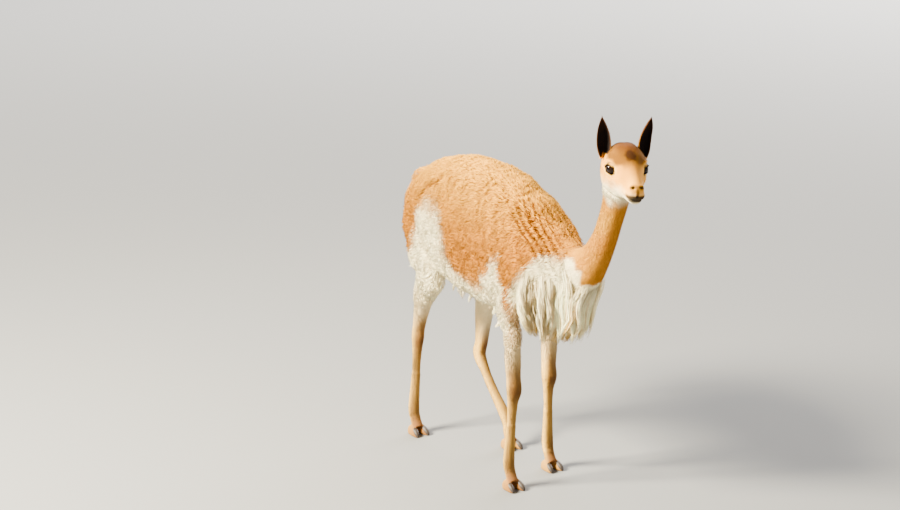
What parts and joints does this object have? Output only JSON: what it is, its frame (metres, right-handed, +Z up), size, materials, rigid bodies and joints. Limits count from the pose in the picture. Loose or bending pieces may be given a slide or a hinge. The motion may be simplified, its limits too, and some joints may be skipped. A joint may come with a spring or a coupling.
{
  "type": "vicuna",
  "caption": "Standing vicuna with raised head, upright ears, long pale chest bib, clumped fawn fleece, slim legs and two-toed feet; still, life size.",
  "frame": {"origin": "middle of the model's bounding box on the floor that the soles rest on", "axes": "+X towards the front of the animal, +Y to its left, +Z up"},
  "size_m": [1.1748, 0.3198, 1.1572],
  "materials": {
    "fleece": "dense matt orange-fawn wool in soft clumps",
    "bib_wool": "long silky cream-white locks over matt fawn wool",
    "coat_fawn": "short flat fawn hair, paler on the inner sides",
    "head_coat": "very short hair, orange-brown brow and cream cheeks, dark nose and lips",
    "ear_coat": "short hair, dark inside with pale rims",
    "eye": "wet, nearly black",
    "nail": "worn dark horn"
  },
  "bodies": {
    "root": {"chest": "bib_wool", "barrel": "fleece", "rump": "fleece", "neck": "coat_fawn", "head": "head_coat", "ear_right": "ear_coat", "ear_left": "ear_coat", "eye_right": "eye", "eye_left": "eye", "tail": "fleece", "fore_right_upper": "coat_fawn", "fore_right_cannon": "coat_fawn", "fore_right_foot": "coat_fawn", "fore_right_nail_inner": "nail", "fore_right_nail_outer": "nail", "fore_left_upper": "coat_fawn", "fore_left_cannon": "coat_fawn", "fore_left_foot": "coat_fawn", "fore_left_nail_inner": "nail", "fore_left_nail_outer": "nail", "hind_right_upper": "coat_fawn", "hind_right_cannon": "coat_fawn", "hind_right_foot": "coat_fawn", "hind_right_nail_inner": "nail", "hind_right_nail_outer": "nail", "hind_left_upper": "coat_fawn", "hind_left_cannon": "coat_fawn", "hind_left_foot": "coat_fawn", "hind_left_nail_inner": "nail", "hind_left_nail_outer": "nail"}
  },
  "joints": []
}
